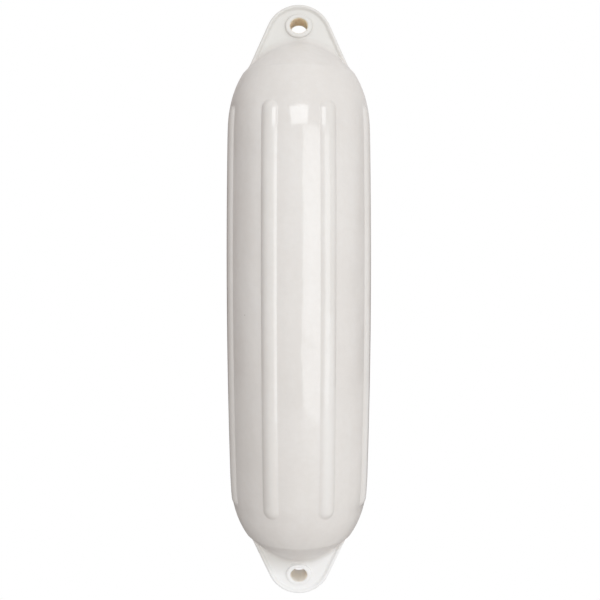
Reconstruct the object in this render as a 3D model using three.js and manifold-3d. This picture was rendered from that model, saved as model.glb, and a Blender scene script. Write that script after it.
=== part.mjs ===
// Twin-eye boat fender: a hollow vinyl moulding with eight ribs and a rope eye at each end, and its air valve.
// Millimetres, +Z up along the fender, X across the rope eyes, the back with the valve towards +Y.
// The origin is the centre of the upper rope eye, where the fender hangs.
import * as THREE from 'three';
import { mergeVertices } from 'three/addons/utils/BufferGeometryUtils.js';
import Module from 'manifold-3d';

const wasm = await Module();
wasm.setup();

// Body, with heights measured from the middle of the fender
const bodyRadius = 75;
const barrelDrop = 2.2; // loss of radius from the middle to a shoulder
const shoulderHeight = 179.5; // where a dome starts
const domeHeight = 88.5;
const domeFullness = 2.24; // 2 is an ellipse, more is squarer
const wall = 3;
const endWall = 10; // vinyl between the air space and the root of a rope eye

// Ribs
const ribCount = 8;
const ribWidth = 16.4;
const ribHeight = 2.5;
const ribOverrun = 24; // how far a rib runs past the shoulder onto the dome

// Rope eyes
const lugReach = 36; // from the top of the dome to the tip
const lugTipRadius = 34;
const lugFlare = THREE.MathUtils.degToRad(25); // of each flank from the fender's axis
const lugRootDepth = 45; // from the top of the dome down to where the flanks end inside the wall
const lugThickness = 29;
const lugEdgeRadius = 1.8;
const rimWidth = 2.4;
const webRecess = 2.4; // how far the web lies below the rim on each face
const webSlope = 2.2; // width of the sloped wall between rim and web
const eyeInset = 20.6; // from the tip to the centre of the eye
const eyeRadius = 8.6; // half the width of the oval eye
const eyeFlatness = 0.84; // height over width of the eye and its ring
const eyeRingWidth = 4.9;
const eyeRingProud = 0.8; // of the rim on each face
const eyeRingRound = 1.5; // rounding of both edges of the ring

// Valve, on the back between two ribs
const valveHeight = 140;
const seatWidth = 24; // round recess that the screw head lies in
const seatDepth = 4.6;
const bossWidth = 32; // thickened wall behind the recess
const bossDepth = 14; // below the floor of the recess
const bushWidth = 13;
const bushLength = 12;
const bushFlangeWidth = 17;
const bushFlangeThickness = 1.5;
const screwWidth = 8;
const screwLength = 10;
const headWidth = 19;
const headThickness = 2.4;
const slotWidth = 2.2;
const slotDepth = 1.3;
const washerWidth = 16;
const washerThickness = 1.2;
const clearance = 0.3; // between valve pieces that touch

// Smoothness
const bodySides = 64;
const cavitySides = 32;
const barrelSteps = 5; // from the middle to a shoulder
const domeSteps = 9;
const cavityDomeSteps = 6;
const ribSides = 32;
const ribSteps = 12;
const ribEndSteps = 6;
const eyeSides = 32;
const lipSteps = 2;
const edgeSteps = 2;
const tipSteps = 8;
const valveSides = 28;

// Worked out
const apexHeight = shoulderHeight + domeHeight;
const tipHeight = apexHeight + lugReach;
const eyeHeight = tipHeight - eyeInset;
const ribHalfLength = shoulderHeight + ribOverrun;
const ribSectionRadius = (ribWidth ** 2 / 4 + ribHeight ** 2) / (2 * ribHeight);
const eyeRingRadius = eyeRadius + eyeRingWidth;
const eyeRingHalf = lugThickness / 2 + eyeRingProud;
const atUpperEye = new THREE.Matrix4()
  .makeTranslation(0, 0, eyeHeight)
  .scale(new THREE.Vector3(1, 1, eyeFlatness)).elements;

const whiteVinyl = new THREE.MeshStandardMaterial({ color: '#e6e3dd', roughness: 0.22, metalness: 0 });
const brass = new THREE.MeshStandardMaterial({ color: '#b08d4c', roughness: 0.35, metalness: 0.9 });
const blackRubber = new THREE.MeshStandardMaterial({ color: '#242424', roughness: 0.8, metalness: 0 });
const greyNylon = new THREE.MeshStandardMaterial({ color: '#c9c8c3', roughness: 0.5, metalness: 0 });

// A closed geometry as a solid: shared vertices merged, triangles that shrink to a line left out
function toSolid(geometry, matrix = new THREE.Matrix4()) {
  const plain = geometry.clone();
  plain.deleteAttribute('normal');
  plain.deleteAttribute('uv');
  const merged = mergeVertices(plain, 1e-4).applyMatrix4(matrix);
  const corners = [];
  for (let i = 0; i < merged.index.count; i += 3) {
    const [a, b, c] = [0, 1, 2].map((k) => merged.index.getX(i + k));
    if (a !== b && b !== c && c !== a) corners.push(a, b, c);
  }
  return new wasm.Manifold(
    new wasm.Mesh({
      numProp: 3,
      vertProperties: new Float32Array(merged.attributes.position.array),
      triVerts: new Uint32Array(corners),
    }),
  );
}

function toMesh(solid, name, material) {
  const { vertProperties, triVerts } = solid.getMesh();
  const geometry = new THREE.BufferGeometry();
  geometry.setAttribute('position', new THREE.BufferAttribute(vertProperties, 3));
  geometry.setIndex(new THREE.BufferAttribute(triVerts, 1));
  const mesh = new THREE.Mesh(geometry, material);
  mesh.name = name;
  return mesh;
}

// Radius of the outside at a height from the middle: a gentle barrel, drawn in to a point by the domes
function outerRadius(height) {
  const h = Math.abs(height);
  const barrel = bodyRadius - barrelDrop * (h / shoulderHeight) ** 2;
  const rise = THREE.MathUtils.clamp((h - shoulderHeight) / domeHeight, 0, 1);
  return barrel * (1 - rise ** domeFullness) ** (1 / domeFullness);
}

// Half of a meridian from the middle to the top, closer together towards the apex
function meridian(domeRows, thickness, apexThickness) {
  const points = [];
  for (let i = 0; i < barrelSteps; i++) {
    const h = (shoulderHeight * i) / barrelSteps;
    points.push(new THREE.Vector2(outerRadius(h) - thickness, h));
  }
  const squash = (domeHeight - apexThickness) / domeHeight;
  const shrink = 1 - thickness / outerRadius(shoulderHeight);
  for (let i = 0; i < domeRows; i++) {
    const rise = domeHeight * Math.sin((Math.PI / 2) * (i / domeRows));
    points.push(new THREE.Vector2(outerRadius(shoulderHeight + rise) * shrink, shoulderHeight + rise * squash));
  }
  points.push(new THREE.Vector2(0, apexHeight - apexThickness));
  return points;
}

// Revolved body about Z from half a meridian and its mirror image
function revolved(half, sides) {
  const lower = half.slice(1).reverse().map((p) => new THREE.Vector2(p.x, -p.y));
  const lathe = new THREE.LatheGeometry([...lower, ...half], sides);
  return toSolid(lathe, new THREE.Matrix4().makeRotationX(Math.PI / 2));
}

// A long capsule sunk into the body, with its rings crowded towards the ends and bent to follow the meridian
function rib(angle) {
  const half = ribHalfLength - ribWidth / 2;
  const capsule = new THREE.CapsuleGeometry(ribSectionRadius, 2 * half, ribEndSteps, ribSides, ribSteps);
  capsule.rotateX(Math.PI / 2);
  capsule.translate(bodyRadius + ribHeight - ribSectionRadius, 0, 0);
  const position = capsule.attributes.position;
  for (let i = 0; i < position.count; i++) {
    const along = position.getZ(i);
    const height = Math.abs(along) < half ? half * Math.sin(((Math.PI / 2) * along) / half) : along;
    position.setX(i, position.getX(i) + outerRadius(height) - bodyRadius);
    position.setZ(i, height);
  }
  return toSolid(capsule, new THREE.Matrix4().makeRotationZ(angle));
}

// Outline of the upper lug, in X and height: round tip, flared flanks, closed inside the dome
function lugOutline(inset) {
  const radius = lugTipRadius - inset;
  const centre = tipHeight - lugTipRadius;
  const shape = new THREE.Shape();
  const footHeight = apexHeight - lugRootDepth;
  const turnHeight = centre + radius * Math.sin(lugFlare);
  const footX = radius * Math.cos(lugFlare) + (turnHeight - footHeight) * Math.tan(lugFlare);
  shape.absarc(0, centre, radius, lugFlare, Math.PI - lugFlare, false);
  shape.lineTo(-footX, footHeight);
  shape.lineTo(footX, footHeight);
  return shape;
}

// Web floor of one face: everything above it is cut away inside the rim
function webCutter(side) {
  const cutter = new THREE.ExtrudeGeometry(lugOutline(rimWidth + webSlope), {
    depth: lugThickness,
    bevelThickness: webRecess,
    bevelSize: webSlope,
    bevelSegments: 1,
    curveSegments: tipSteps,
  });
  cutter.rotateX(Math.PI / 2);
  const floor = lugThickness / 2 - webRecess;
  // the extrusion runs from y = webRecess down to y = -(depth + webRecess)
  const shift = side > 0 ? floor + lugThickness + webRecess : -floor - webRecess;
  return toSolid(cutter, new THREE.Matrix4().makeTranslation(0, shift, 0));
}

// Raised ring round the eye, lying along Y and still round
function eyeRing() {
  const r = eyeRingRound;
  const path = new THREE.Path();
  path.moveTo(0, -eyeRingHalf);
  path.lineTo(eyeRingRadius - r, -eyeRingHalf);
  path.absarc(eyeRingRadius - r, -eyeRingHalf + r, r, -Math.PI / 2, 0, false);
  path.absarc(eyeRingRadius - r, eyeRingHalf - r, r, 0, Math.PI / 2, false);
  path.lineTo(0, eyeRingHalf);
  return toSolid(new THREE.LatheGeometry(path.getPoints(lipSteps), eyeSides));
}

// The eye itself, with rounded lips
function eyeBore() {
  const r = eyeRingRound;
  const path = new THREE.Path();
  const lip = eyeRadius + r;
  path.moveTo(0, -eyeRingHalf - r);
  path.lineTo(lip + r, -eyeRingHalf - r);
  path.lineTo(lip + r, -eyeRingHalf);
  path.absarc(lip, -eyeRingHalf + r, r, -Math.PI / 2, -Math.PI, true);
  path.absarc(lip, eyeRingHalf - r, r, Math.PI, Math.PI / 2, true);
  path.lineTo(lip + r, eyeRingHalf);
  path.lineTo(lip + r, eyeRingHalf + r);
  path.lineTo(0, eyeRingHalf + r);
  return toSolid(new THREE.LatheGeometry(path.getPoints(lipSteps), eyeSides));
}

// Upper rope eye: rimmed lug with sunken webs and a raised ring, still without its hole
function lug() {
  const plate = new THREE.ExtrudeGeometry(lugOutline(0), {
    depth: lugThickness - 2 * lugEdgeRadius,
    bevelThickness: lugEdgeRadius,
    bevelSize: lugEdgeRadius,
    bevelOffset: -lugEdgeRadius,
    bevelSegments: edgeSteps,
    curveSegments: tipSteps,
  });
  plate.rotateX(Math.PI / 2);
  plate.translate(0, lugThickness / 2 - lugEdgeRadius, 0);
  return toSolid(plate)
    .subtract(webCutter(1))
    .subtract(webCutter(-1))
    .add(eyeRing().transform(atUpperEye));
}

function fenderShell() {
  const halfTurn = new THREE.Matrix4().makeRotationY(Math.PI).elements;
  const upperLug = lug();
  const upperBore = eyeBore().transform(atUpperEye);
  let shell = revolved(meridian(domeSteps, 0, 0), bodySides);
  for (let i = 0; i < ribCount; i++) {
    shell = shell.add(rib(((i + 0.5) * 2 * Math.PI) / ribCount));
  }
  return shell
    .add(upperLug)
    .add(upperLug.transform(halfTurn))
    .subtract(revolved(meridian(cavityDomeSteps, wall, endWall), cavitySides))
    .add(valveBoss())
    .subtract(valveHoles())
    .subtract(upperBore)
    .subtract(upperBore.transform(halfTurn));
}

// The valve's pieces share one axis along Y, through the floor of the round recess
const seatFloor = outerRadius(valveHeight) - seatDepth;
const valveAxis = new THREE.Matrix4().makeTranslation(0, seatFloor, valveHeight);

function turned(points) {
  return toSolid(new THREE.LatheGeometry(points.map(([x, y]) => new THREE.Vector2(x, y)), valveSides));
}

function valveBoss() {
  const radius = bossWidth / 2;
  const embed = seatDepth - wall; // the boss ends inside the wall
  return turned([[0, -bossDepth], [radius, -bossDepth], [radius, embed], [0, embed]]).transform(valveAxis.elements);
}

function valveHoles() {
  const seat = seatWidth / 2;
  const flange = bushFlangeWidth / 2 + clearance;
  const hole = bushWidth / 2 + clearance;
  const flangeFloor = -bushFlangeThickness - clearance;
  return turned([
    [0, -bossDepth - wall],
    [hole, -bossDepth - wall],
    [hole, flangeFloor],
    [flange, flangeFloor],
    [flange, 0],
    [seat, 0],
    [seat, seatDepth * 2],
    [0, seatDepth * 2],
  ]).transform(valveAxis.elements);
}

function valveBush() {
  const bore = screwWidth / 2 + clearance;
  return turned([
    [bore, -bushLength],
    [bushWidth / 2, -bushLength],
    [bushWidth / 2, -bushFlangeThickness],
    [bushFlangeWidth / 2, -bushFlangeThickness],
    [bushFlangeWidth / 2, 0],
    [bore, 0],
    [bore, -bushLength],
  ]);
}

function valveWasher() {
  const bore = screwWidth / 2 + clearance;
  const top = clearance + washerThickness;
  return turned([
    [bore, clearance],
    [washerWidth / 2, clearance],
    [washerWidth / 2, top],
    [bore, top],
    [bore, clearance],
  ]);
}

function valveScrew() {
  const under = washerThickness + 2 * clearance;
  const top = under + headThickness;
  const screw = turned([
    [0, under - screwLength],
    [screwWidth / 2, under - screwLength],
    [screwWidth / 2, under],
    [headWidth / 2, under],
    [headWidth / 2, top],
    [0, top],
  ]);
  const slot = new THREE.BoxGeometry(headWidth * 2, slotDepth * 2, slotWidth);
  slot.translate(0, top, 0);
  return screw.subtract(toSolid(slot));
}

// Everything is drawn about the middle, then lowered so that the upper eye is the origin
const fender = new THREE.Group();
const moulding = new THREE.Group();
moulding.position.z = -eyeHeight;
moulding.add(toMesh(fenderShell(), 'fender_shell', whiteVinyl));

const valve = new THREE.Group();
valve.applyMatrix4(valveAxis);
valve.add(toMesh(valveBush(), 'valve_bush', brass));
valve.add(toMesh(valveWasher(), 'valve_washer', blackRubber));
valve.add(toMesh(valveScrew(), 'valve_screw', greyNylon));
moulding.add(valve);
fender.add(moulding);

export default fender;
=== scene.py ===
import math

import bmesh
import bpy
import numpy as np
from mathutils import Matrix, Vector


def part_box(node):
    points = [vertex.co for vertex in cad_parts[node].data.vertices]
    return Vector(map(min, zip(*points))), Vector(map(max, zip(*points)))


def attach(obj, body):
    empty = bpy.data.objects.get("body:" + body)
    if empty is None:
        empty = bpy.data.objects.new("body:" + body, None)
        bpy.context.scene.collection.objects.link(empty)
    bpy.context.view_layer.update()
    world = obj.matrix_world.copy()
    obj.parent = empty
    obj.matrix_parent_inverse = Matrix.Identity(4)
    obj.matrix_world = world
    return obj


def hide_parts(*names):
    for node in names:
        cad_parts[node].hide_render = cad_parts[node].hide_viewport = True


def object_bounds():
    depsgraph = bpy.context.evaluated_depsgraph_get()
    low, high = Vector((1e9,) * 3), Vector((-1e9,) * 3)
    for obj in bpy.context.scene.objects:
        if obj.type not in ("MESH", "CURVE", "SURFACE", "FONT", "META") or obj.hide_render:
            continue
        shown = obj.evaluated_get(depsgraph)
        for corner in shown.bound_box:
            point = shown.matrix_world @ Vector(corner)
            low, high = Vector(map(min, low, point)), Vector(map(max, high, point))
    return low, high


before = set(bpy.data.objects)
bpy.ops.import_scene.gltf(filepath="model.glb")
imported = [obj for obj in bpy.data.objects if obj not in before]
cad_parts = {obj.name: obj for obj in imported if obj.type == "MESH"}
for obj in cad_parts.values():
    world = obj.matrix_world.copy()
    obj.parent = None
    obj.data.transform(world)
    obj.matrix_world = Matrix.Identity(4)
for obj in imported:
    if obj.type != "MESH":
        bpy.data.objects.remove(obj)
cadLow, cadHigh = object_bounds()
lowerTip, upperTip = (corner.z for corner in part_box("fender_shell"))
middle = (lowerTip + upperTip) / 2  # height of the fender's middle; the origin is the upper eye
tipHeight = (upperTip - lowerTip) / 2  # all heights below are measured from the middle
eyeHeight = -middle
sharpAngle = math.radians(40)  # edges sharper than this stay crisp
print("frame loaded")


# Mesh and node helpers

def linkPiece(name, mesh):
    piece = bpy.data.objects.new(name, mesh)
    bpy.context.scene.collection.objects.link(piece)
    return piece


def addNode(tree, kind, **settings):
    node = tree.nodes.new(kind)
    for name, value in settings.items():
        setattr(node, name, value)
    return node


def feed(tree, socket, value):
    if isinstance(value, bpy.types.NodeSocket):
        tree.links.new(value, socket)
    else:
        socket.default_value = value


def calculator(tree):
    def calc(operation, *values):
        node = addNode(tree, "ShaderNodeMath", operation=operation)
        for socket, value in zip(node.inputs, values):
            feed(tree, socket, value)
        return node.outputs[0]
    return calc


def plainMesh(piece, name):
    view = bpy.context.evaluated_depsgraph_get()
    view.update()
    mesh = bpy.data.meshes.new_from_object(piece.evaluated_get(view))
    mesh.name = name
    for modifier in list(piece.modifiers):
        piece.modifiers.remove(modifier)
    return mesh


def meshPoints(mesh):
    points = np.empty(len(mesh.vertices) * 3)
    mesh.vertices.foreach_get("co", points)
    return points.reshape(-1, 3)


def turned(name, profile, sides, matrix=Matrix()):
    # a closed shape revolved about its own Y axis; the profile is (radius, y) and starts and ends on the axis
    build = bmesh.new()
    rings = []
    for radius, along in profile:
        if radius == 0:
            rings.append([build.verts.new((0, along, 0))] * sides)
            continue
        turns = [2 * math.pi * i / sides for i in range(sides)]
        rings.append([build.verts.new((radius * math.cos(t), along, radius * math.sin(t))) for t in turns])
    for first, second in zip(rings, rings[1:]):
        for i in range(sides):
            j = (i + 1) % sides
            corners = [first[i], first[j], second[j], second[i]]
            build.faces.new(list(dict.fromkeys(corners)))
    bmesh.ops.recalc_face_normals(build, faces=build.faces)
    build.transform(matrix)
    mesh = bpy.data.meshes.new(name)
    build.to_mesh(mesh)
    build.free()
    return mesh


def faceOutwards(mesh):
    build = bmesh.new()
    build.from_mesh(mesh)
    bmesh.ops.recalc_face_normals(build, faces=build.faces)
    build.to_mesh(mesh)
    build.free()


def roundCorner(centre, radius, start, end, steps):
    angles = [math.radians(start + (end - start) * i / steps) for i in range(steps + 1)]
    return [(centre[0] + radius * math.cos(a), centre[1] + radius * math.sin(a)) for a in angles]


# Ribbed body, one skin that follows the barrel, the domes and the ribs by rule

body = {
    "radius": 0.075,
    "barrelDrop": 0.0022,  # loss of radius from the middle to a shoulder
    "shoulder": 0.1795,
    "domeHeight": 0.0885,
    "fullness": 2.24,  # 2 is an ellipse, more is squarer
    "capStart": 0.2378,  # height of the fine edge that runs round each end, where the flatter cap begins
    "capTop": 0.2698,
    "capFullness": 1.85,
    "capEdge": 0.0008,  # rows are crowded over this height at the edge
    "ribWidth": 0.0164,
    "ribHeight": 0.0025,
    "ribReach": 0.2035,  # height at which a rib ends
    "creaseSoftness": 0.00022,
    "endBefore": 1.15,  # half widths of a rib before its end where the close rows begin
    "endAfter": 0.15,  # and past its end where they stop
    "weld": 0.00001,
    "ribShare": 0.45,  # share of the columns that lie on ribs
    "straightRows": 0.24,  # share of the rows on the straight stretch of a rib
    "endRows": 0.52,  # and up to just past its rounded end
    "domeRows": 0.68,  # and up to the edge of the cap
    "edgeRows": 0.72,
    "ribs": 8,
    "columns": 288,
    "rows": 160,
}


def radiusField(calc, given, height):
    # barrel, dome, and from capStart on the dome's radius there closed in by the cap
    capSpan = calc("SUBTRACT", given["capTop"], given["capStart"])
    toGo = calc("DIVIDE", calc("SUBTRACT", given["capTop"], height), capSpan)
    share = calc("MINIMUM", calc("MAXIMUM", toGo, 0.0), 1.0)
    closing = calc("POWER", share, calc("DIVIDE", 1.0, given["capFullness"]))
    height = calc("MINIMUM", height, given["capStart"])
    far = calc("DIVIDE", height, given["shoulder"])
    drop = calc("MULTIPLY", given["barrelDrop"], calc("MULTIPLY", far, far))
    barrel = calc("SUBTRACT", given["radius"], drop)
    above = calc("DIVIDE", calc("SUBTRACT", height, given["shoulder"]), given["domeHeight"])
    rise = calc("MINIMUM", calc("MAXIMUM", above, 0.0), 1.0)
    left = calc("MAXIMUM", calc("SUBTRACT", 1.0, calc("POWER", rise, given["fullness"])), 0.0)
    dome = calc("MULTIPLY", barrel, calc("POWER", left, calc("DIVIDE", 1.0, given["fullness"])))
    return calc("MULTIPLY", dome, closing)


def spread(tree, value, start, end, reach):
    node = addNode(tree, "ShaderNodeMapRange", clamp=True)
    for socket, item in zip(node.inputs, (value, start, end, 0.0, reach)):
        feed(tree, socket, item)
    return node.outputs[0]


def bodyTree(material):
    tree = bpy.data.node_groups.new("ribbedBody", "GeometryNodeTree")
    tree.interface.new_socket("Mesh", in_out="OUTPUT", socket_type="NodeSocketGeometry")
    whole = ("ribs", "columns", "rows")
    for name in body:
        kind = "NodeSocketInt" if name in whole else "NodeSocketFloat"
        tree.interface.new_socket(name, in_out="INPUT", socket_type=kind)
    given = {socket.name: socket for socket in addNode(tree, "NodeGroupInput").outputs if socket.name in body}
    calc = calculator(tree)
    quarter = math.pi / 2

    grid = addNode(tree, "GeometryNodeMeshGrid")
    for socket, value in zip(grid.inputs, (1.0, 1.0, calc("ADD", given["columns"], 1), given["rows"])):
        feed(tree, socket, value)
    place = addNode(tree, "ShaderNodeSeparateXYZ")
    tree.links.new(addNode(tree, "GeometryNodeInputPosition").outputs[0], place.inputs[0])

    # rows: wide apart on the barrel, close at the rib ends and at the edge of the cap, closing in on the apex
    across = calc("MULTIPLY", place.outputs["Y"], 2.0)
    row = calc("ABSOLUTE", across)
    halfWidth = calc("MULTIPLY", given["ribWidth"], 0.5)
    straightEnd = calc("SUBTRACT", given["ribReach"], calc("MULTIPLY", halfWidth, given["endBefore"]))
    pastEnd = calc("ADD", given["ribReach"], calc("MULTIPLY", halfWidth, given["endAfter"]))
    onBarrel = spread(tree, row, 0.0, given["straightRows"], straightEnd)
    onEnd = spread(tree, row, given["straightRows"], given["endRows"], calc("SUBTRACT", pastEnd, straightEnd))
    edgeLow = calc("SUBTRACT", given["capStart"], calc("MULTIPLY", given["capEdge"], 0.5))
    onDome = spread(tree, row, given["endRows"], given["domeRows"], calc("SUBTRACT", edgeLow, pastEnd))
    onEdge = spread(tree, row, given["domeRows"], given["edgeRows"], given["capEdge"])
    edgeHigh = calc("ADD", edgeLow, given["capEdge"])
    onCap = calc("SINE", spread(tree, row, given["edgeRows"], 1.0, quarter))
    capRise = calc("MULTIPLY", onCap, calc("SUBTRACT", given["capTop"], edgeHigh))
    height = calc("ADD", calc("ADD", calc("ADD", onBarrel, onEnd), calc("ADD", onDome, onEdge)), capRise)

    # columns: crowded towards the crease at each side of a rib
    turn = calc("MULTIPLY", calc("ADD", place.outputs["X"], 0.5), given["ribs"])
    sector = calc("FLOOR", turn)
    offset = calc("SUBTRACT", calc("MULTIPLY", calc("SUBTRACT", turn, sector), 2.0), 1.0)
    aside = calc("ABSOLUTE", offset)
    onRib = calc("SINE", spread(tree, aside, 0.0, given["ribShare"], quarter))
    inGap = calc("SUBTRACT", 1.0, calc("COSINE", spread(tree, aside, given["ribShare"], 1.0, quarter)))
    radius = radiusField(calc, given, height)
    widest = radiusField(calc, given, calc("MINIMUM", height, given["ribReach"]))
    creaseAngle = calc("ARCSINE", calc("DIVIDE", halfWidth, widest))
    halfSector = calc("DIVIDE", math.pi, given["ribs"])
    gapAngle = calc("MULTIPLY", inGap, calc("SUBTRACT", halfSector, creaseAngle))
    swing = calc("ADD", calc("MULTIPLY", onRib, creaseAngle), gapAngle)
    centre = calc("MULTIPLY", calc("ADD", sector, 0.5), calc("MULTIPLY", halfSector, 2.0))
    angle = calc("ADD", centre, calc("MULTIPLY", calc("SIGN", offset), swing))

    # rib: the cap of a circle, carried round the end
    lateral = calc("MULTIPLY", radius, calc("SINE", swing))
    over = calc("MAXIMUM", calc("SUBTRACT", height, calc("SUBTRACT", given["ribReach"], halfWidth)), 0.0)
    awaySquared = calc("ADD", calc("MULTIPLY", lateral, lateral), calc("MULTIPLY", over, over))
    tallness = calc("MULTIPLY", given["ribHeight"], given["ribHeight"])
    sectionSum = calc("ADD", calc("MULTIPLY", halfWidth, halfWidth), tallness)
    section = calc("DIVIDE", sectionSum, calc("MULTIPLY", given["ribHeight"], 2.0))
    reach = calc("SUBTRACT", calc("MULTIPLY", section, section), awaySquared)
    crown = calc("SQRT", calc("MAXIMUM", reach, 0.0))
    raised = calc("SUBTRACT", crown, calc("SUBTRACT", section, given["ribHeight"]))
    softened = calc("MULTIPLY", given["creaseSoftness"], given["creaseSoftness"])
    rootOfIt = calc("SQRT", calc("ADD", calc("MULTIPLY", raised, raised), softened))
    proud = calc("MULTIPLY", calc("ADD", raised, rootOfIt), 0.5)
    outside = calc("ADD", radius, proud)

    put = addNode(tree, "ShaderNodeCombineXYZ")
    feed(tree, put.inputs["X"], calc("MULTIPLY", outside, calc("COSINE", angle)))
    feed(tree, put.inputs["Y"], calc("MULTIPLY", outside, calc("SINE", angle)))
    feed(tree, put.inputs["Z"], calc("ADD", calc("MULTIPLY", calc("SIGN", across), height), middle))
    setPlace = addNode(tree, "GeometryNodeSetPosition")
    merge = addNode(tree, "GeometryNodeMergeByDistance")
    feed(tree, merge.inputs["Distance"], given["weld"])
    realize = addNode(tree, "GeometryNodeRealizeInstances")
    dress = addNode(tree, "GeometryNodeSetMaterial")
    dress.inputs["Material"].default_value = material
    tree.links.new(grid.outputs["Mesh"], setPlace.inputs["Geometry"])
    tree.links.new(put.outputs[0], setPlace.inputs["Position"])
    tree.links.new(setPlace.outputs[0], merge.inputs["Geometry"])
    tree.links.new(merge.outputs[0], realize.inputs["Geometry"])
    tree.links.new(realize.outputs[0], dress.inputs["Geometry"])
    tree.links.new(dress.outputs[0], addNode(tree, "NodeGroupOutput").inputs[0])
    return tree


def makeBody(material):
    carrier = linkPiece("bodySkin", bpy.data.meshes.new("bodyStart"))
    modifier = carrier.modifiers.new("ribbedBody", "NODES")
    modifier.node_group = bodyTree(material)
    for socket in modifier.node_group.interface.items_tree:
        if socket.in_out == "INPUT":
            modifier[socket.identifier] = body[socket.name]
    mesh = plainMesh(carrier, "bodySkin")
    faceOutwards(mesh)
    carrier.data = mesh
    return carrier


# Rope eyes: rimmed lug, sunken web, raised ring; the profile runs from the bore out to the lug's edge

lug = {
    "tipRadius": 0.034,
    "flare": math.radians(25),  # of each flank from the fender's axis
    "rootDepth": 0.045,  # below the top of the cap, inside the body
    "halfThickness": 0.0145,
    "edgeRadius": 0.0018,
    "rimWidth": 0.0024,
    "webRecess": 0.0024,
    "webSlope": 0.0022,
    "bendShare": 0.35,  # share of the slope's width given to each of its soft bends
    "bendDepth": 0.28,  # and of its height
    "bendEase": 0.00008,  # height left for the last turn at the top and foot of the slope
    "webOverlap": 0.0006,  # widths of that turn on the web and on the rim
    "rimEase": 0.0003,
    "edgeRow": 0.005,  # distances from the middle plane of the rows on the lug's edge and in its bore
    "boreRows": (0, 0.004, 0.008, 0.0115),
    "eyeRadius": 0.0086,  # half the width of the eye
    "eyeFlatness": 0.84,  # its height over its width
    "ringWidth": 0.0049,
    "ringProud": 0.0008,
    "ringRound": 0.0016,
    "ringFoot": 0.0008,  # small hollow round the foot of the ring
    "rays": 144,
    "webRows": 22,
    "rootFillet": 0.0065,  # on the faces; the flanks run into the dome almost without one
    "flankFillet": 0.0015,
    "filletStep": 0.001,  # longest edge left where the fillet is drawn
    "faceFrom": 0.008,  # distance from the middle plane where a flank turns into a face
    "faceFade": 0.004,
    "ringFade": 0.005,  # the fillet fades over these widths towards the ring and the rim
    "rimFade": 0.006,
    "splits": 2,
    "smoothings": 5,
    "settlings": 4,
    "settleStep": 0.00002,
    "leastSlope": 0.2,
}
tipCentre = tipHeight - lug["tipRadius"] - eyeHeight  # heights of the lug are measured from its eye
rootHeight = body["capTop"] - lug["rootDepth"] - eyeHeight
ringEdge = lug["eyeRadius"] + lug["ringWidth"]


def insetOf(x, z):
    # how far inside the lug's outline a point lies
    flare, radius = lug["flare"], lug["tipRadius"]
    side, up = np.abs(x), z - tipCentre
    flank = radius - side * math.cos(flare) - up * math.sin(flare)
    tip = radius - np.hypot(side, up)
    onTip = up * math.cos(flare) > side * math.sin(flare)
    return np.minimum(np.where(onTip, tip, flank), z - rootHeight)


def fromEye(x, height):
    # distance from the eye's axis, in widths of the oval
    return np.hypot(x, (height - eyeHeight) / lug["eyeFlatness"])


def reachTo(turn, inset):
    # how far from the eye a ray meets the outline, drawn in by the inset
    flare, radius = lug["flare"], lug["tipRadius"] - inset
    c, s = math.cos(turn), math.sin(turn)
    hits = []
    lean = abs(c) * math.cos(flare) + s * math.sin(flare)
    if lean > 0:
        hits.append((radius + tipCentre * math.sin(flare)) / lean)
    if s < 0:
        hits.append((rootHeight + inset) / s)
    along = s * tipCentre
    onArc = along + math.sqrt(along * along - tipCentre ** 2 + radius ** 2)
    if (onArc * s - tipCentre) * math.cos(flare) >= abs(onArc * c) * math.sin(flare):
        hits.append(onArc)
    return min(hits)


def rimProfile():
    # (inset, distance from the middle plane), from the web out to the lug's edge
    top, web = lug["halfThickness"], lug["halfThickness"] - lug["webRecess"]
    foot = lug["rimWidth"] + lug["webSlope"]
    bendWide, bendDeep = lug["webSlope"] * lug["bendShare"], lug["webRecess"] * lug["bendDepth"]
    ease = lug["bendEase"]
    slope = [
        (foot + lug["webOverlap"], web),
        (foot, web + ease),
        (foot - bendWide, web + bendDeep),
        (lug["rimWidth"] + bendWide, top - bendDeep),
        (lug["rimWidth"], top - ease),
        (lug["rimWidth"] - lug["rimEase"], top),
    ]
    edge = lug["edgeRadius"]
    return slope + roundCorner((edge, top - edge), edge, 90, 180, 6) + [(0, lug["edgeRow"]), (0, 0)]


def ringProfile():
    # (distance from the eye's axis, distance from the middle plane), from the bore out to the web
    top = lug["halfThickness"] + lug["ringProud"]
    web = lug["halfThickness"] - lug["webRecess"]
    inner, r, foot = lug["eyeRadius"], lug["ringRound"], lug["ringFoot"]
    outer = inner + lug["ringWidth"]
    bore = [(inner, away) for away in lug["boreRows"]]
    lip = roundCorner((inner + r, top - r), r, 180, 90, 5)
    crown = roundCorner((outer - r, top - r), r, 90, 0, 5)
    hollow = roundCorner((outer + foot, web + foot), foot, 180, 270, 3)
    return bore + lip + crown + hollow


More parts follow.
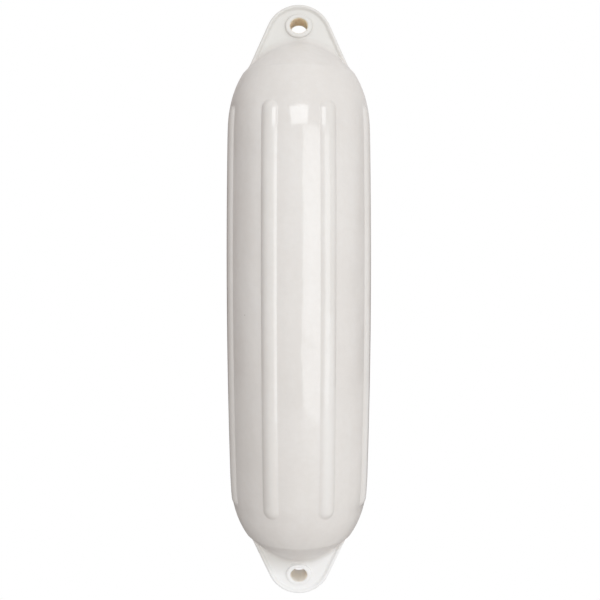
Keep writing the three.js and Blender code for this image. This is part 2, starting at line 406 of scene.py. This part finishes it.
def makeLug(name, lower):
    rays = [2 * math.pi * i / lug["rays"] for i in range(lug["rays"])]
    ring, rim = ringProfile(), rimProfile()
    web = lug["halfThickness"] - lug["webRecess"]
    points = []
    for turn in rays:
        flat = math.hypot(math.cos(turn), math.sin(turn) / lug["eyeFlatness"])
        front = [(away / flat, y) for away, y in ring]
        start, end = front[-1][0], reachTo(turn, rim[0][0])
        steps = lug["webRows"]
        front += [(start + (end - start) * i / steps, web) for i in range(1, steps)]
        front += [(reachTo(turn, inset), y) for inset, y in rim]
        loop = front + [(away, -y) for away, y in front[-2:0:-1]]
        points.append([(away * math.cos(turn), -y, away * math.sin(turn)) for away, y in loop])
    count = len(points[0])
    points = np.array(points).reshape(-1, 3)
    if lower:
        points[:, 0] *= -1
        points[:, 2] = 2 * middle - points[:, 2]
    faces = []
    for i in range(lug["rays"]):
        j = (i + 1) % lug["rays"]
        for k in range(count):
            m = (k + 1) % count
            faces.append((i * count + k, j * count + k, j * count + m, i * count + m))
    mesh = bpy.data.meshes.new(name)
    mesh.from_pydata(points.tolist(), [], faces)
    faceOutwards(mesh)
    return linkPiece(name, mesh)


# Where the lug runs into the dome the vinyl is thick and the corner is rounded

edgeBarrel = body["radius"] - body["barrelDrop"] * (body["capStart"] / body["shoulder"]) ** 2
edgeRise = (body["capStart"] - body["shoulder"]) / body["domeHeight"]
edgeRadius = edgeBarrel * (1 - edgeRise ** body["fullness"]) ** (1 / body["fullness"])


def barrelGap(across, height):
    # roughly the distance outside the barrel and dome, without the cap
    barrel = body["radius"] - body["barrelDrop"] * (height / body["shoulder"]) ** 2
    rise = np.clip((height - body["shoulder"]) / body["domeHeight"], 0, None)
    n = body["fullness"]
    return (((across / barrel) ** n + rise ** n) ** (1 / n) - 1) * barrel


def domeGap(points):
    # roughly the distance outside the whole body
    x, y, z = points.T
    height, across = np.abs(z - middle), np.hypot(x, y)
    start, span, n = body["capStart"], body["capTop"] - body["capStart"], body["capFullness"]
    share = across / edgeRadius
    steepness = n * span / edgeRadius * share ** (n - 1)
    overCap = (height - body["capTop"] + span * share ** n) / np.sqrt(1 + steepness ** 2)
    return np.maximum(barrelGap(across, np.minimum(height, start)), overCap)


def lugGap(points):
    # distance outside the lug, from its section in inset and thickness
    x, y, z = points.T
    height = np.abs(z - middle) - eyeHeight
    inset, thick = insetOf(x, height), np.abs(y)
    rim = rimProfile()
    section = [(0.2, rim[0][1])] + rim  # the web carries on far inside
    nearest = np.full(len(points), 1.0)
    for (a0, b0), (a1, b1) in zip(section, section[1:]):
        da, db = a1 - a0, b1 - b0
        share = np.clip(((inset - a0) * da + (thick - b0) * db) / (da * da + db * db), 0, 1)
        nearest = np.minimum(nearest, np.hypot(inset - a0 - share * da, thick - b0 - share * db))
    order = np.array(section)[::-1]
    roof = np.interp(inset, order[1:, 0], order[1:, 1])
    inside = (inset > 0) & (thick < roof)
    return np.where(inside, -nearest, nearest)


def softStep(values):
    held = np.clip(values, 0, 1)
    return held * held * (3 - 2 * held)


def filletOf(points):
    # full on the web, small on the flanks, fading towards the rim and the ring
    x, y, z = points.T
    height = np.abs(z - middle)
    onFace = softStep((np.abs(y) - lug["faceFrom"]) / lug["faceFade"])
    offRing = softStep((fromEye(x, height) - ringEdge) / lug["ringFade"])
    offRim = softStep((insetOf(x, height - eyeHeight) - lug["rimWidth"]) / lug["rimFade"])
    return lug["flankFillet"] + (lug["rootFillet"] - lug["flankFillet"]) * onFace * offRing * offRim


def blendGap(points):
    first, second, k = domeGap(points), lugGap(points), filletOf(points)
    overlap = np.clip(k - np.abs(first - second), 0, None) / k
    return np.minimum(first, second) - overlap ** 2 * k / 4


def atRoots(points):
    height = np.abs(points[:, 2] - middle)
    onLug = (fromEye(points[:, 0], height) > ringEdge) & (height > eyeHeight + rootHeight)
    return onLug & (np.abs(domeGap(points) - lugGap(points)) < filletOf(points))


def settle(points):
    # moved along the slope of the gap until they lie on the blended skin
    step = lug["settleStep"]
    for _ in range(lug["settlings"]):
        gap = blendGap(points)
        slope = np.stack([(blendGap(points + step * axis) - gap) / step for axis in np.eye(3)], -1)
        size = np.maximum((slope ** 2).sum(1), lug["leastSlope"])
        points = points - (gap / size)[:, None] * slope
    return points


def dropFlaps(build):
    # two faces on the same corners enclose nothing
    byCorners = {}
    for face in build.faces:
        byCorners.setdefault(frozenset(face.verts), []).append(face)
    flaps = [face for faces in byCorners.values() if len(faces) > 1 for face in faces]
    bmesh.ops.delete(build, geom=flaps, context="FACES")


def roundRoot(mesh):
    build = bmesh.new()
    build.from_mesh(mesh)
    bmesh.ops.triangulate(build, faces=build.faces)
    for _ in range(lug["splits"]):
        near = atRoots(np.array([vertex.co for vertex in build.verts]))
        build.verts.index_update()
        long = [edge for edge in build.edges if near[edge.verts[0].index] and near[edge.verts[1].index]
                and edge.calc_length() > lug["filletStep"]]
        bmesh.ops.subdivide_edges(build, edges=long, cuts=1)
        bmesh.ops.triangulate(build, faces=build.faces)
    dropFlaps(build)
    build.to_mesh(mesh)
    build.free()

    points = meshPoints(mesh)
    near = atRoots(points)
    edges = np.empty(len(mesh.edges) * 2, dtype=np.int64)
    mesh.edges.foreach_get("vertices", edges)
    starts, ends = edges.reshape(-1, 2).T
    away = np.bincount(starts, ~near[ends], len(points)) + np.bincount(ends, ~near[starts], len(points))
    inner = near & (away == 0)
    count = np.bincount(edges, minlength=len(points))[:, None]
    for _ in range(lug["smoothings"]):
        total = np.stack([np.bincount(starts, points[ends, i], len(points))
                          + np.bincount(ends, points[starts, i], len(points)) for i in range(3)], -1)
        points[inner] += 0.5 * (total / count - points)[inner]
        points[near] = settle(points[near])
    mesh.vertices.foreach_set("co", points.ravel())
    mesh.update()
    mesh.shade_smooth()
    mesh.set_sharp_from_angle(angle=sharpAngle)
    print("rounded", int(near.sum()), "points at the lug roots")


# Valve, on the back: seat cut in the moulding, and the screw that closes it

valve = {
    "sides": 96,
    "seatRadius": 0.012,
    "seatLip": 0.0012,  # rounding where the seat meets the skin
    "flangeRadius": 0.0088,
    "flangeDepth": 0.0018,
    "holeRadius": 0.0068,
    "holeDepth": 0.018,
    "cutPast": 0.01,  # how far the cutter stands out of the skin
    "headUnder": 0.0018,  # underside of the head, above the floor of the seat
    "headRound": 0.0008,
    "headBevel": 0.0003,
    "shankRadius": 0.004,
    "shankBevel": 0.0006,
    "shankTaper": 0.0008,
    "slotWidth": 0.0022,
    "slotDepth": 0.0013,
}
bushLow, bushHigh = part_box("valve_bush")
screwLow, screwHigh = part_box("valve_screw")
valveAxis = Matrix.Translation((0, bushHigh.y, (bushLow.z + bushHigh.z) / 2))  # on the floor of the seat


def seatCutter():
    skin = body["radius"] - body["barrelDrop"] * ((valveAxis.translation.z - middle) / body["shoulder"]) ** 2
    depth = skin - bushHigh.y
    lip, seat = valve["seatLip"], valve["seatRadius"]
    flare = [(2 * seat + 2 * lip - x, y) for x, y in roundCorner((seat + lip, depth - lip), lip, 0, 90, 4)]
    profile = [
        (0, -valve["holeDepth"]),
        (valve["holeRadius"], -valve["holeDepth"]),
        (valve["holeRadius"], -valve["flangeDepth"]),
        (valve["flangeRadius"], -valve["flangeDepth"]),
        (valve["flangeRadius"], 0),
        (seat, 0),
        *flare,
        (seat + lip, depth + valve["cutPast"]),
        (0, depth + valve["cutPast"]),
    ]
    return linkPiece("seatCutter", turned("seatCutter", profile, valve["sides"], valveAxis))


def makeScrew(material):
    head = (screwHigh.z - screwLow.z) / 2
    top, bottom = screwHigh.y - bushHigh.y, screwLow.y - bushHigh.y
    under, shank, r = valve["headUnder"], valve["shankRadius"], valve["headRound"]
    bevel = valve["headBevel"]
    profile = [
        (0, bottom),
        (shank - valve["shankBevel"], bottom),
        (shank, bottom + valve["shankTaper"]),
        (shank, under),
        (head - bevel, under),
        (head, under + bevel),
        *roundCorner((head - r, top - r), r, 0, 90, 5),
        (0, top),
    ]
    screw = linkPiece("valveScrew", turned("valveScrew", profile, valve["sides"], valveAxis))
    build = bmesh.new()
    bmesh.ops.create_cube(build, size=1)
    build.transform(valveAxis @ Matrix.Translation((0, top, 0)) @ Matrix.Diagonal(
        (head * 3, valve["slotDepth"] * 2, valve["slotWidth"], 1)))
    mesh = bpy.data.meshes.new("slotCutter")
    build.to_mesh(mesh)
    build.free()
    cutter = linkPiece("slotCutter", mesh)
    joinOrCut(screw, [(cutter, "DIFFERENCE")], "valveScrew")
    screw.data.materials.clear()
    screw.data.materials.append(material)
    return screw


def joinOrCut(piece, partners, name):
    for partner, operation in partners:
        modifier = piece.modifiers.new(operation.lower(), "BOOLEAN")
        modifier.operation, modifier.object, modifier.solver = operation, partner, "MANIFOLD"
    mesh = plainMesh(piece, name)
    piece.data = mesh
    for partner, _ in partners:
        bpy.data.objects.remove(partner)
    mesh.shade_smooth()
    mesh.set_sharp_from_angle(angle=sharpAngle)
    return piece


wearAndPaintedLight = {
    "boreMargin": 0.0007,  # how far past the bore's edge the tan reaches
    "boreFade": 0.0006,
    "boreHalf": 0.0152,  # of its length
    "lugFrom": 0.001,  # distance outside the domes where the lugs' finish begins
    "lugFade": 0.004,
    "ringFade": 0.0008,
    "litLean": 0.25,  # how much sooner the lower lug is painted lighter on its right
    "litFade": 0.015,
    "rootFade": 0.004,
    "rootsAbove": 0.2,
    "dullFrom": 0.199,  # height past which the domes lose their gloss
    "dullFade": 0.014,
    "domeShare": 0.8,  # of the caps' dullness
    "capFade": 0.0006,
}


def paintMasks(mesh):
    # where the vinyl is duller (lugs, domes and caps), painted lighter (lower lug), tanned (eyes) and darker
    # (roots, painted shade and grime)
    points = meshPoints(mesh)
    x, y, z = points.T
    height = np.abs(z - middle)
    away, off = fromEye(x, height), domeGap(points)
    inBore = np.clip((lug["eyeRadius"] + wearAndPaintedLight["boreMargin"] - away) / wearAndPaintedLight["boreFade"], 0, 1)
    inBore *= np.abs(y) < wearAndPaintedLight["boreHalf"]
    onLug = np.clip((off - wearAndPaintedLight["lugFrom"]) / wearAndPaintedLight["lugFade"], 0, 1)
    # painted light: the lower lug is lighter, most of all on its ring and away from the dome towards the
    # right
    onRing = np.clip((ringEdge + wearAndPaintedLight["ringFade"] - away) / wearAndPaintedLight["ringFade"], 0, 1)
    offDome = np.clip((off + wearAndPaintedLight["litLean"] * x) / wearAndPaintedLight["litFade"], 0, 1)
    lowerLugLit = onLug * (z < middle) * np.maximum(onRing, offDome)
    # painted shade and grime where the lugs leave the domes
    root = np.clip(1 - np.abs(off - lugGap(points)) / wearAndPaintedLight["rootFade"], 0, 1) * (height > wearAndPaintedLight["rootsAbove"])
    onDome = wearAndPaintedLight["domeShare"] * softStep((height - wearAndPaintedLight["dullFrom"]) / wearAndPaintedLight["dullFade"])
    onCap = np.maximum(onDome, np.clip((height - body["capStart"]) / wearAndPaintedLight["capFade"], 0, 1))
    masks = {"inBore": inBore, "onLug": onLug, "lowerLugLit": lowerLugLit, "atRoot": root, "onCap": onCap}
    for name, values in masks.items():
        mask = mesh.attributes.new(name, "FLOAT", "POINT")
        mask.data.foreach_set("value", values.astype(np.float32))


# Finishes

vinyl = {
    "bodyColour": (0.80, 0.775, 0.75, 1),
    "bodyShade": (0.76, 0.73, 0.70, 1),
    # the lugs' colour, greyer than the body: painted shade on the upper lug and near the lower lug's root
    "lugShadeColour": (0.76, 0.745, 0.715, 1),
    # painted light: the lower lug's colour, lighter as if lit
    "lowerLugLitColour": (0.95, 0.95, 0.945, 1),
    "tanColour": (0.96, 0.86, 0.70, 1),
    "tanShade": (0.88, 0.74, 0.54, 1),
    "litTan": (1.0, 0.90, 0.80, 1),  # painted lighter tan inside the lower eye, whose floor faces up into the light
    "speckColour": (0.16, 0.12, 0.09, 1),
    "speckScale": 95.0,
    "speckRarity": 0.965,  # share of the cells without a speck
    "speckSize": 0.055,
    "speckDark": 0.55,
    "cloudScale": 11.0,
    "cloudShare": 0.5,
    "runStretch": (90, 90, 5),
    "runShare": 0.2,
    "mottleScale": 150.0,
    "mottleShare": 0.3,
    "skinEdges": (0.36, 0.64),  # levels of the noise where the shade begins and is past
    "tanScale": 230.0,
    "tanEdges": (0.42, 0.62),
    # darkening where the lugs leave the domes: painted shade and grime
    "grimeAndShade": 0.05,
    "grimeAndShadeEdges": (0.4, 0.7),
    "roughness": 0.3,
    "roughnessSpread": 0.14,
    "patchScale": 34.0,
    "patchEdges": (0.35, 0.75),
    "lugRoughness": 0.12,  # added on the lugs, domes and caps
    "boreRoughness": 0.35,  # added inside the eyes
    "glossRoughness": 0.07,
    "glossIor": 1.75,
    "ior": 1.5,
    "lugLoss": 0.7,  # share of the gloss lost
    "capLoss": 0.8,
    "rippleStretch": (1, 1, 0.6),
    "rippleScale": 26.0,
    "rippleHeight": 0.0016,
    "peelScale": 700.0,
    "peelStrength": 0.35,
    "peelHeight": 0.00005,
    "glow": 0.12,  # light that soaks in
    "boreGlow": 0.8,
    "glowDepth": 0.008,
    "paleDepth": 0.03,  # added in the lower eye, where the ring is painted lighter
    "glowTint": (1.0, 0.9, 0.8),
}


def startMaterial(name):
    material = bpy.data.materials.new(name)
    material.use_nodes = True
    tree = material.node_tree
    tree.nodes.clear()
    shader = addNode(tree, "ShaderNodeBsdfPrincipled")
    out = addNode(tree, "ShaderNodeOutputMaterial")
    tree.links.new(shader.outputs[0], out.inputs["Surface"])
    return material, tree, shader


def noiseOf(tree, vector, scale, detail=3.0, roughness=0.55):
    node = addNode(tree, "ShaderNodeTexNoise")
    feed(tree, node.inputs["Vector"], vector)
    for name, value in (("Scale", scale), ("Detail", detail), ("Roughness", roughness)):
        node.inputs[name].default_value = value
    return node.outputs["Fac"]


def ramp(tree, value, low, high):
    node = addNode(tree, "ShaderNodeMapRange", interpolation_type="SMOOTHSTEP", clamp=True)
    for socket, item in zip(node.inputs, (value, low, high, 0.0, 1.0)):
        feed(tree, socket, item)
    return node.outputs[0]


def mixColour(tree, share, first, second):
    node = addNode(tree, "ShaderNodeMix", data_type="RGBA")
    feed(tree, node.inputs["Factor"], share)
    colours = [socket for socket in node.inputs if socket.type == "RGBA"]
    feed(tree, colours[0], first)
    feed(tree, colours[1], second)
    return next(socket for socket in node.outputs if socket.type == "RGBA")


def stretched(tree, vector, scale):
    node = addNode(tree, "ShaderNodeMapping")
    feed(tree, node.inputs["Vector"], vector)
    node.inputs["Scale"].default_value = scale
    return node.outputs[0]


def bumpOf(tree, height, strength, distance):
    node = addNode(tree, "ShaderNodeBump")
    node.inputs["Strength"].default_value = strength
    node.inputs["Distance"].default_value = distance
    feed(tree, node.inputs["Height"], height)
    return node


def maskOf(tree, name):
    node = addNode(tree, "ShaderNodeAttribute", attribute_name=name)
    return node.outputs["Fac"]


def makeVinyl():
    material, tree, shader = startMaterial("glossyWhiteVinyl")
    calc = calculator(tree)
    spot = addNode(tree, "ShaderNodeTexCoord").outputs["Object"]
    bore, litLower, onLug, onCap = (maskOf(tree, name) for name in ("inBore", "lowerLugLit", "onLug", "onCap"))
    # uneven gel coat: broad clouds, faint runs down the length, fine mottle
    clouds = noiseOf(tree, spot, vinyl["cloudScale"], 3.0)
    runs = noiseOf(tree, stretched(tree, spot, vinyl["runStretch"]), 1.0, 4.0)
    mottle = noiseOf(tree, spot, vinyl["mottleScale"], 4.0, 0.65)
    faint = calc("MULTIPLY", runs, vinyl["runShare"])
    fine = calc("ADD", faint, calc("MULTIPLY", mottle, vinyl["mottleShare"]))
    uneven = calc("ADD", calc("MULTIPLY", clouds, vinyl["cloudShare"]), fine)
    skin = mixColour(tree, ramp(tree, uneven, *vinyl["skinEdges"]), vinyl["bodyShade"], vinyl["bodyColour"])
    # painted shade: the lugs are greyer than the body
    lugSkin = mixColour(tree, onLug, skin, vinyl["lugShadeColour"])
    # painted light: the lower lug is lighter, most on its ring and right, with painted shade left near the
    # dome
    pale = mixColour(tree, litLower, lugSkin, vinyl["lowerLugLitColour"])
    # painted shade and grime: darker where the lugs leave the domes
    rootDarkening = calc("MULTIPLY", ramp(tree, mottle, *vinyl["grimeAndShadeEdges"]), vinyl["grimeAndShade"])
    rootDarkened = mixColour(tree, calc("MULTIPLY", maskOf(tree, "atRoot"), rootDarkening), pale, vinyl["bodyShade"])
    # bores browned by the hot core pins of the mould
    tanned = ramp(tree, noiseOf(tree, spot, vinyl["tanScale"], 3.0), *vinyl["tanEdges"])
    hotTan = mixColour(tree, tanned, vinyl["tanColour"], vinyl["tanShade"])
    # painted light: the tan inside the lower eye is lighter
    tan = mixColour(tree, litLower, hotTan, vinyl["litTan"])
    browned = mixColour(tree, bore, rootDarkened, tan)
    # a few specks
    specks = addNode(tree, "ShaderNodeTexVoronoi", feature="F1")
    specks.inputs["Scale"].default_value = vinyl["speckScale"]
    tree.links.new(spot, specks.inputs["Vector"])
    chance = addNode(tree, "ShaderNodeSeparateColor")
    tree.links.new(specks.outputs["Color"], chance.inputs[0])
    chosen = calc("GREATER_THAN", chance.outputs[0], vinyl["speckRarity"])
    size = calc("MULTIPLY", chance.outputs[1], vinyl["speckSize"])
    dot = calc("MULTIPLY", calc("LESS_THAN", specks.outputs["Distance"], size), chosen)
    finished = mixColour(tree, calc("MULTIPLY", dot, vinyl["speckDark"]), browned, vinyl["speckColour"])
    feed(tree, shader.inputs["Base Color"], finished)
    # smooth skin with duller patches, duller still on the lugs and domes and inside the eyes
    patches = ramp(tree, noiseOf(tree, spot, vinyl["patchScale"], 5.0), *vinyl["patchEdges"])
    rough = calc("ADD", calc("MULTIPLY", patches, vinyl["roughnessSpread"]), vinyl["roughness"])
    lugDull = calc("MULTIPLY", calc("MAXIMUM", onLug, onCap), vinyl["lugRoughness"])
    duller = calc("ADD", lugDull, calc("MULTIPLY", bore, vinyl["boreRoughness"]))
    feed(tree, shader.inputs["Roughness"], calc("ADD", rough, duller))
    # the skin ripples a little, so reflections waver
    waves = stretched(tree, spot, vinyl["rippleStretch"])
    swell = noiseOf(tree, waves, vinyl["rippleScale"], 2.0, 0.4)
    ripple = bumpOf(tree, swell, 1.0, vinyl["rippleHeight"])
    pores = noiseOf(tree, spot, vinyl["peelScale"], 2.0)
    peel = bumpOf(tree, pores, vinyl["peelStrength"], vinyl["peelHeight"])
    feed(tree, peel.inputs["Normal"], ripple.outputs[0])
    feed(tree, shader.inputs["Normal"], peel.outputs[0])
    feed(tree, shader.inputs["Coat Normal"], ripple.outputs[0])
    # clear gloss, partly lost on the lugs and domes
    lugLost = calc("MULTIPLY", onLug, vinyl["lugLoss"])
    lost = calc("MAXIMUM", lugLost, calc("MULTIPLY", onCap, vinyl["capLoss"]))
    feed(tree, shader.inputs["Coat Weight"], calc("SUBTRACT", 1.0, lost))
    shader.inputs["Coat Roughness"].default_value = vinyl["glossRoughness"]
    shader.inputs["Coat IOR"].default_value = vinyl["glossIor"]
    shader.inputs["IOR"].default_value = vinyl["ior"]
    # light that soaks into the vinyl, deepest in the lower eye, where the lug is painted lighter
    soaked = calc("ADD", vinyl["glow"], calc("MULTIPLY", bore, vinyl["boreGlow"]))
    feed(tree, shader.inputs["Subsurface Weight"], soaked)
    shader.inputs["Subsurface Radius"].default_value = vinyl["glowTint"]
    through = calc("MULTIPLY", calc("MULTIPLY", bore, litLower), vinyl["paleDepth"])
    feed(tree, shader.inputs["Subsurface Scale"], calc("ADD", through, vinyl["glowDepth"]))
    return material


valveFinish = {
    "mixEdges": (0.35, 0.65),  # levels of the noise between the two colours
    "roughnessSpread": 0.2,
    "grainFiner": 6,  # times as fine as the clouds
    "grainStrength": 0.3,
    "grainHeight": 0.0001,
}


def makeSimple(name, first, second, scale, roughness, metallic=0.0):
    material, tree, shader = startMaterial(name)
    spot = addNode(tree, "ShaderNodeTexCoord").outputs["Object"]
    cloud = noiseOf(tree, spot, scale, 4.0)
    share = ramp(tree, cloud, *valveFinish["mixEdges"])
    feed(tree, shader.inputs["Base Color"], mixColour(tree, share, first, second))
    calc = calculator(tree)
    duller = calc("MULTIPLY", cloud, valveFinish["roughnessSpread"])
    feed(tree, shader.inputs["Roughness"], calc("ADD", roughness, duller))
    shader.inputs["Metallic"].default_value = metallic
    fine = noiseOf(tree, spot, scale * valveFinish["grainFiner"], 3.0)
    grain = bumpOf(tree, fine, valveFinish["grainStrength"], valveFinish["grainHeight"])
    feed(tree, shader.inputs["Normal"], grain.outputs[0])
    return material


# Build the pieces

whiteVinyl = makeVinyl()
greyNylon = makeSimple("greyNylon", (0.55, 0.545, 0.52, 1), (0.48, 0.47, 0.445, 1), 160.0, 0.3)
blackRubber = makeSimple("blackRubber", (0.02, 0.02, 0.02, 1), (0.045, 0.043, 0.04, 1), 300.0, 0.6)
turnedBrass = makeSimple("turnedBrass", (0.60, 0.43, 0.18, 1), (0.42, 0.29, 0.12, 1), 220.0, 0.22, 1.0)
print("finishes made")

shell = makeBody(whiteVinyl)
print("body skin:", len(shell.data.polygons), "faces")
upperLug, lowerLug = makeLug("upperLug", False), makeLug("lowerLug", True)
joinOrCut(shell, [(upperLug, "UNION"), (lowerLug, "UNION"), (seatCutter(), "DIFFERENCE")], "fenderMoulding")
roundRoot(shell.data)
shell.name = "fenderMoulding"
shell.data.materials.clear()
shell.data.materials.append(whiteVinyl)
paintMasks(shell.data)
shell.data.calc_loop_triangles()
print("moulding:", len(shell.data.loop_triangles), "triangles")
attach(shell, "root")
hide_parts("fender_shell")

screw = makeScrew(greyNylon)
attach(screw, "root")
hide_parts("valve_screw")
for node, material in (("valve_bush", turnedBrass), ("valve_washer", blackRubber)):
    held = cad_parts[node]
    held.data.materials.clear()
    held.data.materials.append(material)
print("valve made")


# Floor, light and camera

stage = {
    "floorDrop": 0.45,  # below the lower tip, because the fender hangs
    "floorSize": 6.0,
    "floorColour": (0.86, 0.845, 0.83, 1),
    "floorPaintedShade": (0.34, 0.32, 0.31, 1),  # painted shade on the floor behind to the left, away from the windows
    "floorTowards": (0.6, -0.8, 0),
    "floorFade": (-0.35, 0.6),
    "floorRoughness": 0.9,
    "litFrom": (0.23, -0.84, 0.49),  # the bright side of the room
    "roomBright": (0.98, 0.972, 0.965, 1),
    "roomDark": (0.195, 0.152, 0.14, 1),
    "roomEdge": (-0.6, 0.55),
    "roomBehind": (0.80, 0.775, 0.76, 1),  # paler high up behind, for the domes' edges and the back
    "behindFrom": (0.2, 0.72, 0.66),
    "behindEdge": (0.58, 0.94),
    "roomLevel": 0.90,
    "lampDistance": 2.6,
    "lampColour": (0.93, 0.97, 1.0),
}


def acrossRoom(tree, place, towards, edge, dark, bright):
    # dark to bright along a direction
    along = addNode(tree, "ShaderNodeVectorMath", operation="DOT_PRODUCT")
    tree.links.new(place, along.inputs[0])
    along.inputs[1].default_value = towards
    return mixColour(tree, ramp(tree, along.outputs["Value"], *edge), dark, bright)


def whiteToCamera(tree, shader, kind):
    # what the camera sees directly is plain white; the object is lit by the rest
    path = addNode(tree, "ShaderNodeLightPath")
    white = addNode(tree, kind)
    white.inputs["Color"].default_value = (1, 1, 1, 1)
    white.inputs["Strength"].default_value = 1.0
    mix = addNode(tree, "ShaderNodeMixShader")
    tree.links.new(path.outputs["Is Camera Ray"], mix.inputs[0])
    tree.links.new(shader, mix.inputs[1])
    tree.links.new(white.outputs[0], mix.inputs[2])
    return mix.outputs[0]


def makeFloor():
    build = bmesh.new()
    bmesh.ops.create_grid(build, x_segments=1, y_segments=1, size=stage["floorSize"] / 2)
    build.transform(Matrix.Translation((0, 0, cadLow.z - stage["floorDrop"])))
    mesh = bpy.data.meshes.new("floor")
    build.to_mesh(mesh)
    build.free()
    floor = linkPiece("floor", mesh)
    material, tree, shader = startMaterial("paleFloor")
    spot = addNode(tree, "ShaderNodeTexCoord").outputs["Object"]
    dark, bright = stage["floorPaintedShade"], stage["floorColour"]
    # painted shade: the floor is darker behind to the left
    lit = acrossRoom(tree, spot, stage["floorTowards"], stage["floorFade"], dark, bright)
    feed(tree, shader.inputs["Base Color"], lit)
    shader.inputs["Roughness"].default_value = stage["floorRoughness"]
    out = next(node for node in tree.nodes if node.type == "OUTPUT_MATERIAL")
    tree.links.new(whiteToCamera(tree, shader.outputs[0], "ShaderNodeEmission"), out.inputs["Surface"])
    floor.data.materials.append(material)


def makeWorld():
    world = bpy.data.worlds.new("softRoom")
    bpy.context.scene.world = world
    world.use_nodes = True
    tree = world.node_tree
    tree.nodes.clear()
    direction = addNode(tree, "ShaderNodeTexCoord").outputs["Generated"]
    room = addNode(tree, "ShaderNodeBackground")
    dark, bright = stage["roomDark"], stage["roomBright"]
    walls = acrossRoom(tree, direction, stage["litFrom"], stage["roomEdge"], dark, bright)
    colour = acrossRoom(tree, direction, stage["behindFrom"], stage["behindEdge"], walls, stage["roomBehind"])
    feed(tree, room.inputs["Color"], colour)
    room.inputs["Strength"].default_value = stage["roomLevel"]
    out = addNode(tree, "ShaderNodeOutputWorld")
    tree.links.new(whiteToCamera(tree, room.outputs[0], "ShaderNodeBackground"), out.inputs["Surface"])


lamps = {  # azimuth from the camera's side and elevation in degrees, size in metres, power in watts
    "upperPane": {"azimuth": 0, "elevation": 21.5, "size": (1.3, 0.6), "power": 5.0},
    "lowerPane": {"azimuth": 26, "elevation": 2.3, "size": (1.9, 1.08), "power": 7.5},
    "doorPane": {"azimuth": 26, "elevation": -16, "size": (1.9, 0.55), "power": 3.8},
}


def makeLamps():
    centre = Vector((0, 0, middle))
    for name, lamp in lamps.items():
        light = bpy.data.lights.new(name, "AREA")
        light.shape = "RECTANGLE"
        light.size, light.size_y = lamp["size"]
        light.energy = lamp["power"]
        light.color = stage["lampColour"]
        turn, rise = math.radians(lamp["azimuth"]), math.radians(lamp["elevation"])
        way = Vector((math.sin(turn) * math.cos(rise), -math.cos(turn) * math.cos(rise), math.sin(rise)))
        lit = bpy.data.objects.new(name, light)
        lit.location = centre + way * stage["lampDistance"]
        lit.rotation_euler = way.to_track_quat("Z", "Y").to_euler()
        bpy.context.scene.collection.objects.link(lit)


camera = {
    "distance": 0.809,
    "side": 0.0012,
    "rise": 0.0807,  # above the fender's middle
    "pitch": math.radians(5.134),  # looking down
    "pixelFocal": 776.8,
    "pixels": 600,
    "sensorWidth": 36,
    "clipStart": 0.01,
}


def makeCamera():
    lens = bpy.data.cameras.new("camera")
    lens.sensor_width = camera["sensorWidth"]
    lens.lens = camera["pixelFocal"] * lens.sensor_width / camera["pixels"]
    lens.clip_start = camera["clipStart"]
    eye = bpy.data.objects.new("camera", lens)
    eye.location = (camera["side"], -camera["distance"], middle + camera["rise"])
    eye.rotation_euler = (math.pi / 2 - camera["pitch"], 0, 0)
    bpy.context.scene.collection.objects.link(eye)
    bpy.context.scene.camera = eye


makeWorld()
makeFloor()
makeLamps()
makeCamera()
bpy.context.scene.view_settings.view_transform = "Standard"
print("stage set")
